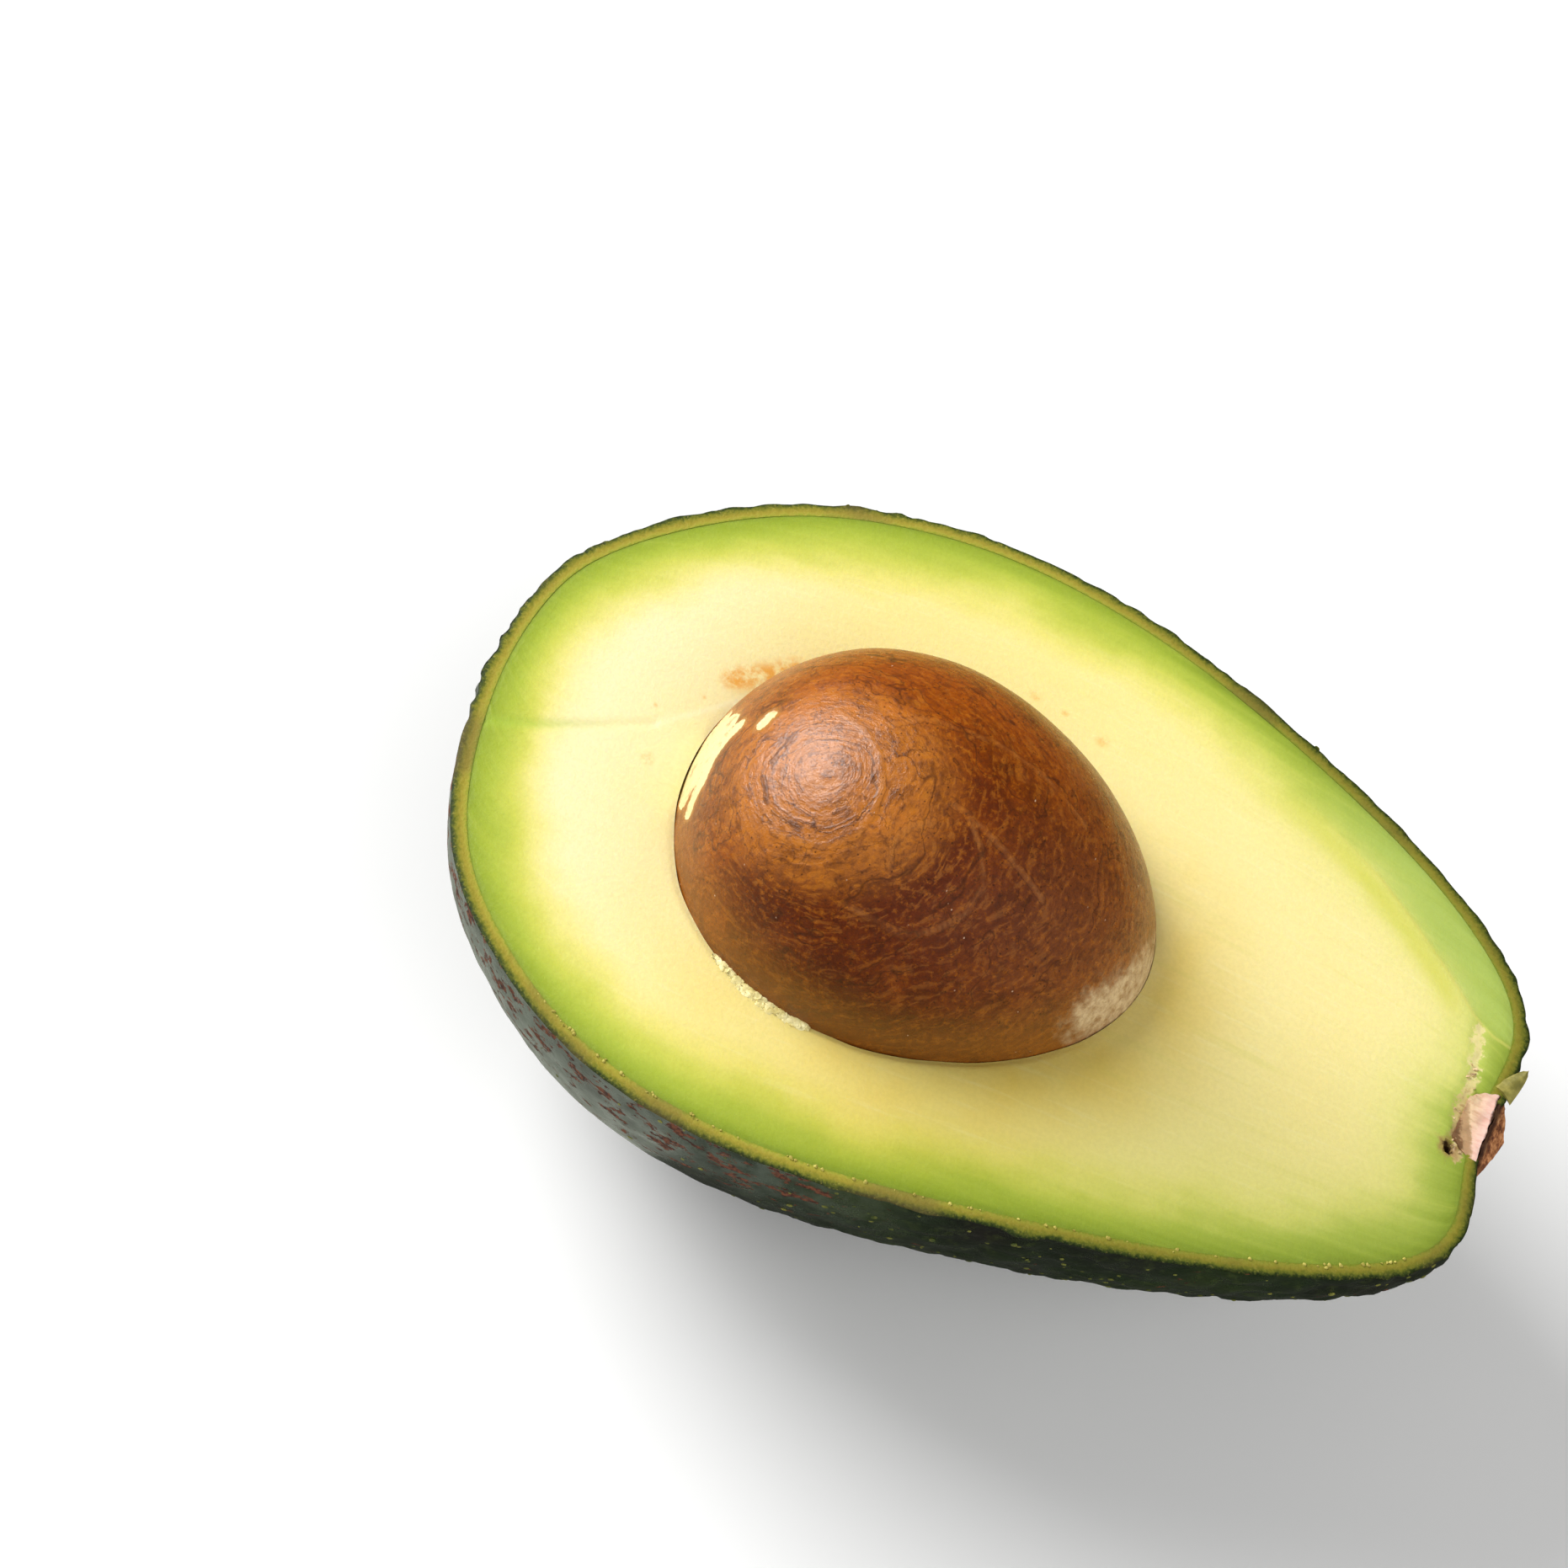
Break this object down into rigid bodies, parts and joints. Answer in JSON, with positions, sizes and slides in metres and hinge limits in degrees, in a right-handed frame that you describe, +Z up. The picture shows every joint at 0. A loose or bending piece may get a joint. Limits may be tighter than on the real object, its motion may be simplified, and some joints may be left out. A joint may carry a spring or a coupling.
{
  "type": "halved avocado with its stone",
  "caption": "Lengthwise half of an avocado lying on its skin, cut face up, with the stone still seated in the flesh and half of the woody stem button in its dent.",
  "frame": {"origin": "middle of the small flat spot on the back of the skin that the half rests on", "axes": "+Z up, square to the level cut face; +X along the fruit from the blossom end to the stem end"},
  "size_m": [0.1016, 0.0721, 0.0508],
  "materials": {
    "peel": "dark green pebbly peel with a waxy sheen, olive where it is cut",
    "flesh": "moist cut flesh, green under the peel and pale yellow inside",
    "stone": "brown papery seed coat with a satin sheen",
    "stem": "woody stem, pink where it is cut and brown bark outside"
  },
  "bodies": {
    "root": {"skin": "peel", "flesh": "flesh", "seed": "stone", "stem_button": "stem"}
  },
  "joints": []
}
